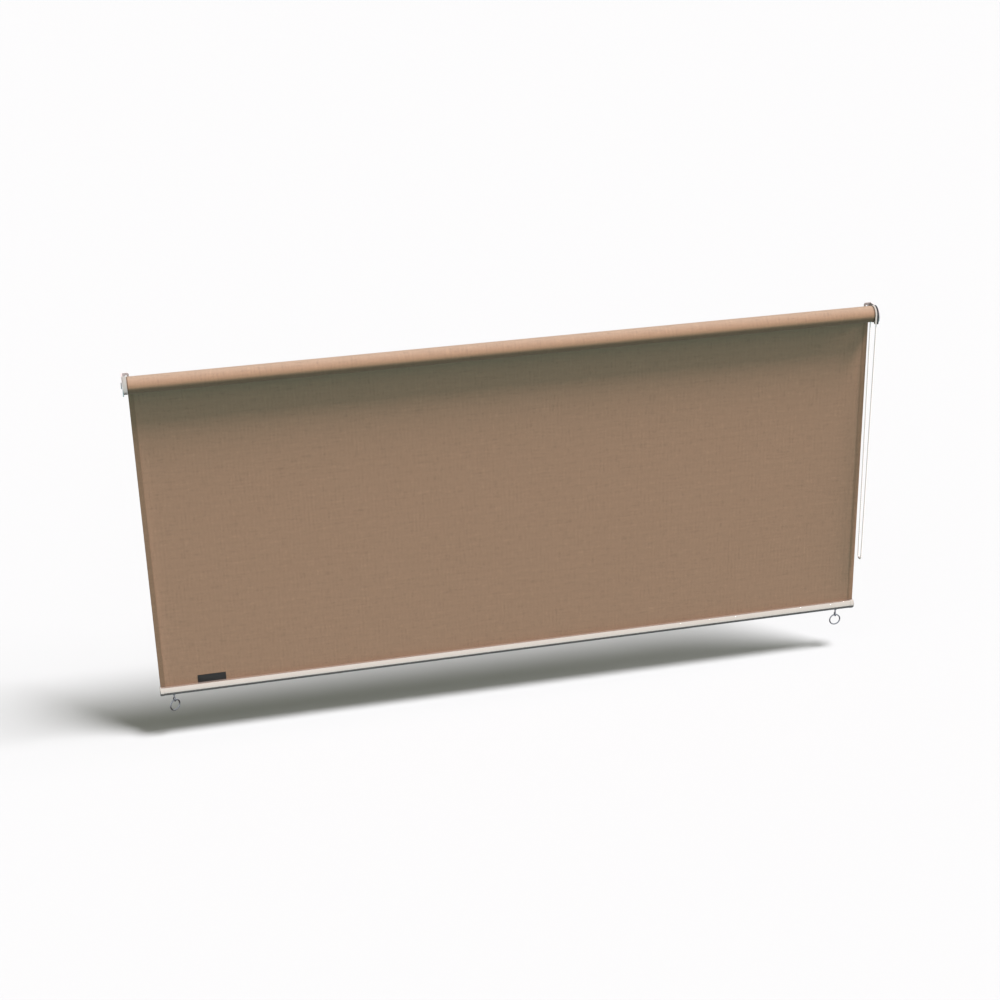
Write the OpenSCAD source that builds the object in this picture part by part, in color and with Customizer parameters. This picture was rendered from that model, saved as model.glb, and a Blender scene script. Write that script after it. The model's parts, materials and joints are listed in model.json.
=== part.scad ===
// Outdoor roller blind, lowered: two wall brackets, a chain-driven roller with a wrap-spring clutch,
// a hemmed cloth sheet and a round bottom bar with two tie rings.
// X runs along the roller, Y points to the wall and Z is up. The origin is on the wall, between the four
// wall screws. The drive end is at +X and the idle end at -X.

/* [Fabric] */
// Width of the cloth
fabric_w = 1980; // [600:10:2960]
// Height from the roller's axis down to the bottom bar's axis
drop = 882; // [780:1:2400]
// Thickness of the cloth
fabric_t = 0.5; // [0.3:0.1:0.7]
// Width of the folded side hems
hem_w = 14; // [8:1:30]

/* [Roller] */
// Outside diameter of the tube
tube_d = 42; // [40:1:44]
// Wall of the tube
tube_wall = 1.5; // [1:0.1:2]
// Turns of cloth left on the tube when the blind is down
turns_left = 2; // [2:1:4]
// Diameter of the spline that grips the cloth in the tube's groove
spline_d = 4.8; // [4:0.2:6]
// Wall round the tube's groove
groove_wall = 1.2; // [0.8:0.1:1.6]
// How far the tube ends short of the cloth's edge
tube_inset = 1; // [0.5:0.5:3]

/* [Brackets] */
// Distance from the wall to the roller's axis
wall_gap = 40; // [40:1:60]
// Height of the roller's axis over the middle of the wall flange
axis_rise = 4; // [0:1:6]
// Distance from the cloth's edge to the bracket's inner face
end_gap = 10; // [10:0.5:16]
// Thickness of the bracket steel
plate_t = 2.5; // [1.5:0.5:4]
// Height of a bracket
plate_h = 48; // [46:1:70]
// Width of the wall flange
flange_w = 20; // [18:1:40]
// Inside radius of the bend
bend_r = 2; // [1:0.5:4]
// Corner radius of the wall flange
flange_corner = 5; // [2:0.5:8]
// Diameter of the wall screw holes
hole_d = 5.5; // [4:0.5:7]
// Height between the two screw holes of a flange
hole_pitch = 30; // [20:1:36]
// Distance from the bracket's outer face to its screw holes
hole_inset = 12.5; // [10:0.5:14]

/* [End covers] */
// Wall of the end covers
cover_wall = 1; // [0.8:0.1:1.6]
// Depth of the two chain outlets below the roller's axis
outlet_drop = 23; // [23:1:40]
// Depth of the chain guard's lid, on the roller's side
lid_w = 4.5; // [2:0.5:6]

/* [Chain] */
// Diameter of a bead
bead_d = 4.5; // [3.5:0.1:4.8]
// Distance from bead to bead
bead_pitch = 6; // [5.6:0.1:6.4]
// Beads round the chain wheel
wheel_beads = 20; // [18:1:21]
// Diameter of the cord between the beads
cord_d = 1.4; // [1:0.1:2]
// Height from the roller's axis down to the bottom of the chain
chain_drop = 728; // [300:1:1800]
// Radius of the two bends at the bottom of the chain
chain_bend = 6; // [5:0.5:10]
// Length of the chain's connector
connector_len = 8; // [6:0.5:12]
// Diameter of the chain's connector
connector_d = 5.6; // [4.8:0.1:7]

/* [Clutch] */
// Diameter of the fixed spindle
spindle_d = 16; // [14:0.5:18]
// Thickness of the spindle's base disc
base_t = 1.1; // [0.8:0.1:1.6]
// Wall of the chain wheel's sleeve
sleeve_wall = 1.9; // [1.2:0.1:2.4]
// Length of the chain wheel's sleeve inside the tube
sleeve_len = 14; // [8:1:24]
// Wire size of the wrap springs
spring_wire = 1.3; // [0.8:0.1:1.6]
// Turns of each wrap spring
spring_turns = 5; // [3:1:7]
// Length of the drive plug in the tube
drive_plug_len = 52; // [46:1:90]
// Diameter of the screw that holds the spindle
screw_d = 4.8; // [4:0.1:6]
// Length of that screw inside the spindle
screw_grip = 16; // [10:1:30]

/* [Idle end] */
// Diameter of the pin
pin_d = 8; // [6:0.5:10]
// Length of the plug in the tube
idle_plug_len = 44; // [30:1:80]
// Wall of the pin's bush
bush_wall = 2; // [1:0.1:2.4]

/* [Plugs] */
// Wall of a plug's sleeve
plug_wall = 2.4; // [1.6:0.1:3]
// Thickness of a plug's ribs
rib_t = 2; // [1.4:0.1:3]
// Thickness of a plug's flange
plug_flange = 1.2; // [0.8:0.1:1.4]

/* [Fastener heads] */
// Diameter of the heads on the brackets' outer faces
head_d = 16; // [10:1:20]
// Height of those heads
head_h = 2.5; // [1.5:0.5:4]

/* [Bottom bar] */
// Outside diameter of the bar
bar_d = 26; // [22:0.2:27]
// Wall of the bar
bar_wall = 1.4; // [1:0.1:2]
// Diameter of the rod in the cloth's bottom hem
rod_d = 4.6; // [3.6:0.2:5]
// Outside diameter of the end caps
cap_d = 27.4; // [26.8:0.2:32]
// Width of an end cap
cap_w = 11.5; // [8:0.5:14]
// How far an end cap stands past the cloth's edge
cap_over = 2.3; // [1.5:0.1:2.4]
// Radius of an end cap's rounded edge
cap_round = 3; // [1:0.5:4]
// Length of an end cap's plug inside the bar
cap_plug = 16; // [8:1:18]
// Wall of an end cap's plug
cap_plug_wall = 2; // [1.2:0.1:3]

/* [Tie rings] */
// Outside diameter of a ring
ring_d = 34; // [26:1:50]
// Wire of a ring
ring_wire = 3.5; // [2.5:0.1:4]
// Outside diameter of an eye
eye_d = 13; // [12:0.5:18]
// Wire of an eye
eye_wire = 3; // [2:0.1:3.4]
// Diameter of an eye bolt's stem
stem_d = 4; // [3:0.1:5]
// Length of a stem below the bar
stem_len = 11.7; // [8:0.1:30]
// Distance from the cloth's left edge to the left eye
left_inset = 34; // [32:1:200]
// Distance from the cloth's right edge to the right eye
right_inset = 50; // [32:1:200]
// Angle that the left eye stops at when it is screwed tight
left_turn = 35; // [0:5:60]
// Height of the nuts
nut_h = 3.2; // [2:0.1:4]
// Width of the nuts across their flats
nut_w = 7; // [6:0.1:9]

/* [Hidden] */
$fn = 64;

// Clearances: parts that only pass each other, shafts that turn, and pieces pushed together
apart = 0.3;
running = 0.1;
fit = 0.05;
// Overshoot of cuts past a face, and depth of roots that join two shapes of one piece
past = 1;
root = 0.5;

// Places along X, for the drive end
cover_gap = 0.5;
half_w = fabric_w / 2;
tube_end = half_w - tube_inset;
plate_x = half_w + end_gap;
plate_out = plate_x + plate_t;
hole_x = plate_out - hole_inset;
cover_x = half_w + cover_gap;
base_x = plate_x - base_t;
wheel_x = cover_x + cover_wall + apart;
wheel_w = base_x - apart - wheel_x;
chain_x = wheel_x + wheel_w / 2;

// Roller
axis_y = -wall_gap;
axis_z = axis_rise;
tube_r = tube_d / 2;
tube_in_r = tube_r - tube_wall;
roll_r = tube_r + turns_left * fabric_t;
groove_r = spline_d / 2 + apart;
groove_at = tube_in_r - groove_r;
groove_slot = 4 * fabric_t;

// Hanging sheet: its folded hem lies in front, just behind the roll
hem_y = axis_y + roll_r + apart;
panel_y = hem_y + fabric_t;
sheet_y = panel_y + fabric_t / 2;

// Chain: round the wheel's top, down two leaning strands and round two bends to the connector
bead_r = bead_d / 2;
pitch_r = wheel_beads * bead_pitch / 360 * 180 / PI;
chain_clear = bead_r + apart;
bend_u = connector_len / 2;
bend_w = chain_bend - chain_drop;
bend_far = norm([bend_u, bend_w]);
lean = acos((pitch_r - chain_bend) / bend_far) - atan2(-bend_w, bend_u);
strand_len = sqrt(pow(bend_far, 2) - pow(pitch_r - chain_bend, 2));
top_len = (90 - lean) / 180 * PI * pitch_r;
low_len = (90 + lean) / 180 * PI * chain_bend;
side_beads = floor((top_len + strand_len + low_len - bead_r) / bead_pitch);

// End covers
outlet_half = chain_clear + apart + cover_wall;
leg_step = 0.2;
cover_r = pitch_r + outlet_half + leg_step;

// Clutch
spindle_r = spindle_d / 2;
sleeve_in_r = spindle_r + running;
sleeve_r = sleeve_in_r + sleeve_wall;
drive_bore_r = sleeve_r + apart;
spindle_nose = 4;
spindle_end = tube_end - drive_plug_len - spindle_nose;
clip_t = 1;
clip_x = tube_end - drive_plug_len - apart - clip_t;
clip_depth = 1;
bearing_t = 4;
pocket_depth = 0.4;
peg_d = 4;
peg_at = 13;
head_r = head_d / 2;
spring_rise = spring_wire + running;
spring_len = spring_turns * spring_rise + spring_wire;
spring_r = spindle_r + apart;
spring_steps = 24;

// Idle end
pin_r = pin_d / 2;
bush_in_r = pin_r + running;
bush_r = bush_in_r + bush_wall;
idle_bore_r = bush_r + fit;
pin_end = tube_end - idle_plug_len;

// Plugs: six ribs leave the tube's groove at the top free
plug_ribs = 6;

// Bottom bar
bar_y = sheet_y;
bar_z = axis_z - drop;
bar_r = bar_d / 2;
bar_in_r = bar_r - bar_wall;
cap_end = half_w + cap_over;
bar_half = cap_end - cap_w;
rod_r = rod_d / 2;
loop_in_r = rod_r + apart;
loop_r = loop_in_r + fabric_t;
channel_r = loop_r + apart;
channel_wall = 1.2;
channel_at = bar_in_r - channel_r;
bar_slot = fabric_t + 4 * apart;
cap_r = cap_d / 2;

// Tie rings
ring_r = (ring_d - ring_wire) / 2;
eye_r = (eye_d - eye_wire) / 2;
stem_r = stem_d / 2;
stem_collar = 1.5;
eye_at = -(bar_r + stem_len + eye_r);
hang_at = eye_at - (eye_r - eye_wire / 2 - ring_wire / 2 - apart);
ring_at = hang_at - ring_r;
left_eye_x = left_inset - half_w;
right_eye_x = half_w - right_inset;
nut_corner = nut_w / sqrt(3);
nut_at = fit - sqrt(pow(bar_in_r, 2) - pow(nut_corner, 2));

steel = "#b9bcbc";
chrome = "#d4d6d8";
aluminium = "#cfcdc6";
cloth = "#96806a";
white_plastic = "#e6e4de";
grey_plastic = "#8d8f8e";
dark_plastic = "#3a4149";

// Places children at x on an axis along X, with their x to the wall, their y up and their z along X
module on_axis(x, y, z) {
    translate([x, y, z]) rotate([90, 0, 90]) children();
}

module on_roller(x) {
    on_axis(x, axis_y, axis_z) children();
}

module on_bar(x) {
    on_axis(x, bar_y, bar_z) children();
}

// The same piece at the idle end
module idle_end() {
    mirror([1, 0, 0]) children();
}

module ring_2d(r_out, r_in) {
    difference() {
        circle(r_out);
        circle(r_in);
    }
}

module pipe(r_out, r_in, length) {
    linear_extrude(length) ring_2d(r_out, r_in);
}

// Bracket: a D-shaped side plate, a bend and a wall flange with two screw holes
module bracket_blank() {
    bend_x = plate_x - bend_r;
    bend_y = -(bend_r + plate_t);
    flange_x = plate_out - flange_w;
    difference() {
        union() {
            on_axis(plate_x, 0, 0) linear_extrude(plate_t) {
                translate([axis_y, 0]) circle(d = plate_h);
                translate([axis_y, -plate_h / 2]) square([bend_y - axis_y, plate_h]);
            }
            translate([bend_x, bend_y, -plate_h / 2]) rotate_extrude(angle = 90)
                translate([bend_r, 0]) square([plate_t, plate_h]);
            rotate([90, 0, 0]) linear_extrude(plate_t) flange_outline(flange_x, bend_x);
        }
        for (side = [-1, 1])
            translate([hole_x, past, side * hole_pitch / 2]) rotate([90, 0, 0])
                cylinder(d = hole_d, h = plate_t + 2 * past);
    }
}

module flange_outline(x_free, x_bend) {
    corner_z = plate_h / 2 - flange_corner;
    translate([x_free + flange_corner, -plate_h / 2]) square([x_bend - x_free - flange_corner, plate_h]);
    translate([x_free, -corner_z]) square([flange_corner + fit, 2 * corner_z]);
    for (side = [-1, 1])
        translate([x_free + flange_corner, side * corner_z]) circle(flange_corner);
}

module idle_bracket() {
    color(steel) idle_end() difference() {
        bracket_blank();
        on_roller(plate_x - past) cylinder(r = pin_r + fit, h = plate_t + 2 * past);
    }
}

module drive_bracket() {
    color(steel) difference() {
        bracket_blank();
        on_roller(plate_x - past) {
            cylinder(r = screw_d / 2 + running, h = plate_t + 2 * past);
            for (side = [-1, 1])
                translate([0, side * peg_at, 0]) cylinder(d = peg_d + 2 * fit, h = plate_t + 2 * past);
        }
    }
}

// Outline of the chain guard: round, with two legs that the chain leaves by
module cover_outline(inset) {
    leg_half = outlet_half - inset;
    circle(cover_r - inset);
    for (side = [-1, 1])
        translate([side * pitch_r - leg_half, inset - outlet_drop])
            square([2 * leg_half, outlet_drop - inset]);
}

module cover_rim(x, depth) {
    slot_half = outlet_half - cover_wall;
    difference() {
        on_roller(x) linear_extrude(depth) difference() {
            cover_outline(0);
            cover_outline(cover_wall);
        }
        on_roller(chain_x - chain_clear)
            for (side = [-1, 1])
                translate([side * pitch_r - slot_half, -outlet_drop - past, 0])
                    cube([2 * slot_half, cover_wall + 2 * past, 2 * chain_clear]);
    }
}

// Round cup at the idle end, open towards the bracket
module idle_cover() {
    hub_r = idle_bore_r + plug_wall;
    color(steel) idle_end() on_roller(cover_x) difference() {
        cylinder(r = cover_r, h = plate_x - cover_x);
        translate([0, 0, cover_wall]) cylinder(r = cover_r - cover_wall, h = plate_x - cover_x);
        translate([0, 0, -past]) cylinder(r = hub_r + apart, h = cover_wall + 2 * past);
    }
}

// Chain guard: a dark rim on the bracket, and a pressed lid on the roller's side
module guard_lid() {
    color(aluminium) {
        cover_rim(cover_x, lid_w);
        on_roller(cover_x) linear_extrude(cover_wall) difference() {
            cover_outline(0);
            circle(sleeve_r + apart);
        }
    }
}

module chain_guard() {
    color(dark_plastic) cover_rim(cover_x + lid_w, plate_x - cover_x - lid_w);
}

// Headed pin that carries the idle end
module idle_pin() {
    color(steel) idle_end() {
        on_roller(plate_out) domed_head();
        on_roller(pin_end) cylinder(r = pin_r, h = plate_out - pin_end);
    }
}

module domed_head() {
    edge = head_h / 2;
    rotate_extrude() {
        square([head_r, head_h - edge]);
        square([head_r - edge, head_h]);
        translate([head_r - edge, head_h - edge]) circle(edge);
    }
}

// Fixed spindle: a base disc with two pegs in the bracket, and a core with a clip groove and a screw hole
module clutch_spindle() {
    base_r = cover_r - cover_wall - running;
    color(grey_plastic) difference() {
        union() {
            on_roller(base_x) cylinder(r = base_r, h = base_t);
            on_roller(spindle_end) cylinder(r = spindle_r, h = base_x - spindle_end);
            on_roller(plate_x)
                for (side = [-1, 1])
                    translate([0, side * peg_at, 0]) cylinder(d = peg_d, h = plate_t);
        }
        on_roller(plate_x - screw_grip - past)
            cylinder(r = screw_d / 2 + fit, h = screw_grip + 2 * past);
        on_roller(clip_x - running) pipe(spindle_r + past, spindle_r - clip_depth, clip_t + 2 * running);
    }
}

module spindle_screw() {
    socket_w = 4;
    color(steel) {
        on_roller(plate_x - screw_grip) cylinder(d = screw_d, h = screw_grip + plate_t);
        difference() {
            on_roller(plate_out) domed_head();
            on_roller(plate_out + head_h / 2) cylinder(d = socket_w, h = head_h, $fn = 6);
        }
    }
}

// Open retaining ring in the spindle's groove
module spindle_clip() {
    clip_r = drive_bore_r + plug_wall / 2;
    opening = spindle_r;
    color(steel) difference() {
        on_roller(clip_x) pipe(clip_r, spindle_r - clip_depth + fit, clip_t);
        on_roller(clip_x - past) translate([-opening / 2, -2 * clip_r, 0])
            cube([opening, 2 * clip_r, clip_t + 2 * past]);
    }
}

// Chain wheel: two cheeks, a groove floor with a ring of bead pockets, and a sleeve that reaches to the springs
module chain_wheel() {
    cheek_r = pitch_r + bead_r / 4;
    floor_r = pitch_r - chain_clear;
    pocket_r = chain_clear + pocket_depth;
    groove_w = 2 * chain_clear;
    cheek_w = (wheel_w - groove_w) / 2;
    slot_w = 2 * spring_wire;
    sleeve_end = tube_end - sleeve_len;
    color(white_plastic) difference() {
        union() {
            for (x = [wheel_x, wheel_x + wheel_w - cheek_w])
                on_roller(x) cylinder(r = cheek_r, h = cheek_w);
            on_roller(wheel_x + cheek_w) linear_extrude(groove_w) difference() {
                circle(floor_r);
                for (i = [0 : wheel_beads - 1])
                    rotate(90 + i * 360 / wheel_beads) translate([pitch_r, 0]) circle(pocket_r);
            }
            on_roller(sleeve_end) cylinder(r = sleeve_r, h = wheel_x - sleeve_end);
        }
        on_roller(sleeve_end - past) {
            cylinder(r = sleeve_in_r, h = wheel_x + wheel_w - sleeve_end + 2 * past);
            translate([-slot_w / 2, 0, 0]) cube([slot_w, 2 * sleeve_r, sleeve_len / 2 + past]);
        }
    }
}

// One wrap spring of square wire, starting at x
module wrap_spring(x) {
    steps = spring_turns * spring_steps;
    corners = [[0, 0], [1, 0], [1, 1], [0, 1]];
    points = [
        for (i = [0 : steps], c = corners)
            let (a = i * 360 / spring_steps, r = spring_r + c[0] * spring_wire)
                [r * cos(a), r * sin(a), i * spring_rise / spring_steps + c[1] * spring_wire]
    ];
    sides = [
        for (i = [0 : steps - 1], k = [0 : 3], half = [0, 1])
            let (a = 4 * i + k, b = 4 * i + (k + 1) % 4)
                half == 0 ? [a, a + 4, b] : [b, a + 4, b + 4]
    ];
    last = 4 * steps;
    ends = [[0, 1, 2], [0, 2, 3], [last, last + 2, last + 1], [last, last + 3, last + 2]];
    on_roller(x) polyhedron(points, concat(sides, ends));
}

module wrap_springs() {
    first = tube_end - sleeve_len - apart - spring_len;
    color(steel) {
        wrap_spring(first);
        wrap_spring(first - apart - spring_len);
    }
}

// Plug pushed into the tube: a sleeve with ribs, a flange on the tube's end and a keyway over the tube's groove
module tube_plug(bore_r, length, sleeve_out) {
    hub_r = bore_r + plug_wall;
    rib_r = sqrt(pow(tube_in_r - fit, 2) - pow(rib_t / 2, 2));
    difference() {
        union() {
            on_roller(tube_end - length) {
                cylinder(r = hub_r, h = length + sleeve_out);
                for (i = [0 : plug_ribs - 1])
                    rotate(i * 360 / plug_ribs) translate([hub_r - root, -rib_t / 2, 0])
                        cube([rib_r - hub_r + root, rib_t, length]);
            }
            on_roller(tube_end) cylinder(r = tube_r - apart, h = plug_flange);
        }
        on_roller(tube_end - length - past) {
            cylinder(r = bore_r, h = length + sleeve_out + 2 * past);
            translate([0, groove_at, 0]) cylinder(r = groove_r + groove_wall + apart, h = length + past);
        }
    }
}

module idle_plug() {
    color(white_plastic) idle_end() tube_plug(idle_bore_r, idle_plug_len, plate_x - apart - tube_end);
}

module idle_bush() {
    color(grey_plastic) idle_end()
        on_roller(pin_end) pipe(bush_r, bush_in_r, plate_x - apart - pin_end);
}

module drive_plug() {
    color(white_plastic) {
        tube_plug(drive_bore_r, drive_plug_len, plug_flange);
        on_roller(tube_end - drive_plug_len) pipe(drive_bore_r + plug_wall / 2, sleeve_in_r, bearing_t);
    }
}

// Roller tube with a groove for the spline along its top
module roller_tube() {
    color(aluminium) on_roller(-tube_end) linear_extrude(2 * tube_end) difference() {
        union() {
            ring_2d(tube_r, tube_in_r);
            translate([0, groove_at]) circle(groove_r + groove_wall);
        }
        translate([0, groove_at]) circle(groove_r);
        translate([-groove_slot / 2, groove_at]) square([groove_slot, tube_r]);
    }
}

module tube_spline() {
    color(grey_plastic) on_roller(-tube_end) translate([0, groove_at, 0])
        cylinder(d = spline_d, h = 2 * tube_end);
}

// Wound cloth: its outer turn leaves the roll at the back, where a step of one thickness shows
module fabric_roll() {
    low_r = roll_r - fabric_t / 2;
    color(cloth) on_roller(-half_w) linear_extrude(2 * half_w) difference() {
        union() {
            intersection() {
                circle(roll_r);
                translate([-2 * roll_r, 0]) square([4 * roll_r, 2 * roll_r]);
            }
            intersection() {
                translate([-fabric_t / 2, 0]) circle(low_r);
                translate([-2 * roll_r, -2 * roll_r]) square([4 * roll_r, 2 * roll_r]);
            }
        }
        circle(tube_r + fit);
    }
}

// Hanging cloth: a panel, two folded side hems and a bottom loop round the hem rod
module fabric_sheet() {
    panel_low = bar_z + channel_at + loop_in_r + fabric_t / 2;
    hem_low = bar_z + cap_r + past;
    color(cloth) {
        translate([-half_w, panel_y, panel_low]) cube([2 * half_w, fabric_t, axis_z - panel_low]);
        for (side = [-1, 1])
            translate([side * (half_w - hem_w / 2) - hem_w / 2, hem_y, hem_low])
                cube([hem_w, fabric_t, axis_z - hem_low]);
        on_bar(-bar_half) translate([0, channel_at, 0]) pipe(loop_r, loop_in_r, 2 * bar_half);
    }
}

// A straight run of beads and cord, along z
module strand(first_bead, beads) {
    rotate_extrude() {
        square([cord_d / 2, strand_len]);
        intersection() {
            for (i = [0 : beads - 1])
                translate([0, first_bead + i * bead_pitch]) circle(bead_r, $fn = 24);
            translate([0, -bead_d]) square([bead_d, strand_len + 2 * bead_d]);
        }
    }
}

module chain_side() {
    top_beads = floor(top_len / bead_pitch);
    strand_beads = floor((top_len + strand_len) / bead_pitch) - top_beads;
    for (i = [1 : top_beads])
        rotate(90 - i * 360 / wheel_beads) translate([pitch_r, 0, 0]) sphere(bead_r, $fn = 24);
    rotate(lean) translate([pitch_r, 0, 0]) rotate([90, 0, 0])
        strand((top_beads + 1) * bead_pitch - top_len, strand_beads);
    translate([bend_u, bend_w, 0]) {
        rotate(-90) rotate_extrude(angle = 90 + lean) translate([chain_bend, 0]) circle(d = cord_d, $fn = 24);
        for (i = [top_beads + strand_beads + 1 : side_beads])
            rotate(lean - (i * bead_pitch - top_len - strand_len) / chain_bend * 180 / PI)
                translate([chain_bend, 0, 0]) sphere(bead_r, $fn = 24);
    }
}

module bead_chain() {
    color(white_plastic) on_roller(chain_x) {
        rotate(lean) rotate_extrude(angle = 180 - 2 * lean) translate([pitch_r, 0]) circle(d = cord_d, $fn = 24);
        rotate(90) translate([pitch_r, 0, 0]) sphere(bead_r, $fn = 24);
        chain_side();
        mirror([1, 0, 0]) chain_side();
    }
}

// Barrel that joins the chain's two ends
module chain_connector() {
    edge = connector_d / 6;
    color(grey_plastic) on_roller(chain_x) translate([-connector_len / 2, -chain_drop, 0]) rotate([0, 90, 0])
        rotate_extrude() polygon([
            [0, 0],
            [connector_d / 2 - edge, 0],
            [connector_d / 2, edge],
            [connector_d / 2, connector_len - edge],
            [connector_d / 2 - edge, connector_len],
            [0, connector_len]
        ]);
}

// Round bar with a keyhole channel along its top for the hem, and two holes for the eye bolts
module bottom_bar() {
    color(aluminium) difference() {
        on_bar(-bar_half) linear_extrude(2 * bar_half) difference() {
            union() {
                ring_2d(bar_r, bar_in_r);
                translate([0, channel_at]) circle(channel_r + channel_wall);
            }
            translate([0, channel_at]) circle(channel_r);
            translate([-bar_slot / 2, channel_at]) square([bar_slot, bar_r]);
        }
        for (x = [left_eye_x, right_eye_x])
            translate([x, bar_y, bar_z - bar_r - past]) cylinder(r = stem_r + running, h = bar_wall + 2 * past);
    }
}

module hem_rod() {
    color(steel) on_bar(-bar_half) translate([0, channel_at, 0]) cylinder(r = rod_r, h = 2 * bar_half);
}

// End cap: a rounded collar with a slot for the cloth, and a split plug that fits in the bar
module bar_cap() {
    slot_depth = cap_w - cap_over + 2 * apart;
    difference() {
        union() {
            on_bar(bar_half) rotate_extrude() {
                square([cap_r, cap_w - cap_round]);
                square([cap_r - cap_round, cap_w]);
                translate([cap_r - cap_round, cap_w - cap_round]) circle(cap_round);
            }
            on_bar(bar_half - cap_plug) linear_extrude(cap_plug) difference() {
                ring_2d(bar_in_r - running, bar_in_r - running - cap_plug_wall);
                translate([0, channel_at]) circle(channel_r + channel_wall + apart);
            }
        }
        on_bar(bar_half - past) translate([-bar_slot / 2, channel_at - channel_r, 0])
            cube([bar_slot, 2 * cap_r, slot_depth + past]);
    }
}

module left_bar_cap() {
    color(aluminium) mirror([1, 0, 0]) bar_cap();
}

module right_bar_cap() {
    color(aluminium) bar_cap();
}

// Eye bolt: a closed eye under a stem with a collar, screwed up through the bar's underside
module eye_bolt(x, turn) {
    stem_top = nut_at + nut_h + stem_collar;
    translate([x, bar_y, bar_z]) rotate(turn) {
        translate([0, 0, eye_at]) rotate([0, 90, 0])
            rotate_extrude() translate([eye_r, 0]) circle(d = eye_wire, $fn = 32);
        translate([0, 0, eye_at + eye_r]) cylinder(r = stem_r, h = stem_top - eye_at - eye_r);
        translate([0, 0, -bar_r - fit - stem_collar]) cylinder(r = 2 * stem_r, h = stem_collar);
    }
}

module left_eye_bolt() {
    color(chrome) eye_bolt(left_eye_x, left_turn);
}

module right_eye_bolt() {
    color(chrome) eye_bolt(right_eye_x, 0);
}

module eye_nuts() {
    color(steel)
        for (x = [left_eye_x, right_eye_x])
            translate([x, bar_y, bar_z + nut_at]) difference() {
                cylinder(r = nut_corner, h = nut_h, $fn = 6);
                translate([0, 0, -past]) cylinder(r = stem_r + fit, h = nut_h + 2 * past);
            }
}

// Closed ring that hangs in an eye
module tie_ring(x, turn) {
    translate([x, bar_y, bar_z + ring_at]) rotate(turn) rotate([90, 0, 0])
        rotate_extrude() translate([ring_r, 0]) circle(d = ring_wire, $fn = 32);
}

module left_ring() {
    color(chrome) tie_ring(left_eye_x, left_turn);
}

module right_ring() {
    color(chrome) tie_ring(right_eye_x, 0);
}

idle_bracket();
drive_bracket();
idle_cover();
guard_lid();
chain_guard();
idle_pin();
clutch_spindle();
spindle_screw();
spindle_clip();
bead_chain();
chain_connector();
fabric_sheet();
roller_tube();
tube_spline();
fabric_roll();
idle_plug();
idle_bush();
drive_plug();
chain_wheel();
wrap_springs();
bottom_bar();
hem_rod();
left_bar_cap();
right_bar_cap();
left_eye_bolt();
right_eye_bolt();
eye_nuts();
left_ring();
right_ring();
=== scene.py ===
"""Looks of an outdoor roller blind: hemmed screen cloth, its wound roll, a bead chain, fittings and a bare tag."""

import json
import math

import bmesh
import bpy
from bpy.props import FloatProperty, FloatVectorProperty, PointerProperty
from mathutils import Matrix, Vector


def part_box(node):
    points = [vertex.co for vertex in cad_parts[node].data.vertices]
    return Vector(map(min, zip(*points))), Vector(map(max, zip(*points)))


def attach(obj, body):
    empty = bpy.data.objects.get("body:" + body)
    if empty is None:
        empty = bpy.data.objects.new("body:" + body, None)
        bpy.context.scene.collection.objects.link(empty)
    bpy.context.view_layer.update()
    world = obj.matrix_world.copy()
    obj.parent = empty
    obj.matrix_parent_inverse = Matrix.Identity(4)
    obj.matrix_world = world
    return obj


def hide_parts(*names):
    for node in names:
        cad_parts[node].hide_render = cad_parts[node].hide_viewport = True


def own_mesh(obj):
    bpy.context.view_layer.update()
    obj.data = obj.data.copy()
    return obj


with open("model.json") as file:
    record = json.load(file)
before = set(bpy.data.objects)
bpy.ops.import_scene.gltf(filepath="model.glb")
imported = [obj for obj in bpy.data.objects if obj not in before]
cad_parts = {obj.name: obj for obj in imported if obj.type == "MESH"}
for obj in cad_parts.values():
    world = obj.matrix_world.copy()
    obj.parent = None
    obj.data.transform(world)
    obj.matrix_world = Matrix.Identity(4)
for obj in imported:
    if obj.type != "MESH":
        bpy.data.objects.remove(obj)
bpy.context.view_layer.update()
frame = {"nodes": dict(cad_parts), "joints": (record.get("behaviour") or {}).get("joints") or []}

bl_info = {
    "name": "Outdoor roller blind",
    "version": (1, 0, 0),
    "blender": (4, 5, 0),
    "location": "View3D > Sidebar > Blind",
    "description": "Dresses the frame of an outdoor roller blind with cloth, chain, finishes, light and camera",
    "category": "Object",
}

MM = 0.001


def srgb(red, green, blue):
    """A colour written as 8-bit screen values, as linear light."""
    def linear(value):
        share = value / 255
        return share / 12.92 if share <= 0.04045 else ((share + 0.055) / 1.055) ** 2.4

    return linear(red), linear(green), linear(blue)


def joint(name):
    return next(j for j in frame["joints"] if j["name"] == name)


class Span:
    """The box of a CAD node: its corners, middle and size."""

    def __init__(self, node):
        self.low, self.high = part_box(node)
        self.middle = (self.low + self.high) / 2
        self.size = self.high - self.low


AXIS = Vector(joint("roller_turn")["pos_m"])
LIFT = joint("bar_lift")["range_m"][1]
SHEET = Span("fabric_sheet")
ROLL = Span("fabric_roll")
TUBE = Span("roller_tube")
BAR = Span("bottom_bar")
CAP = Span("left_bar_cap")
ROD = Span("hem_rod")
CHAIN = Span("bead_chain")
CONNECTOR = Span("chain_connector")


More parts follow.
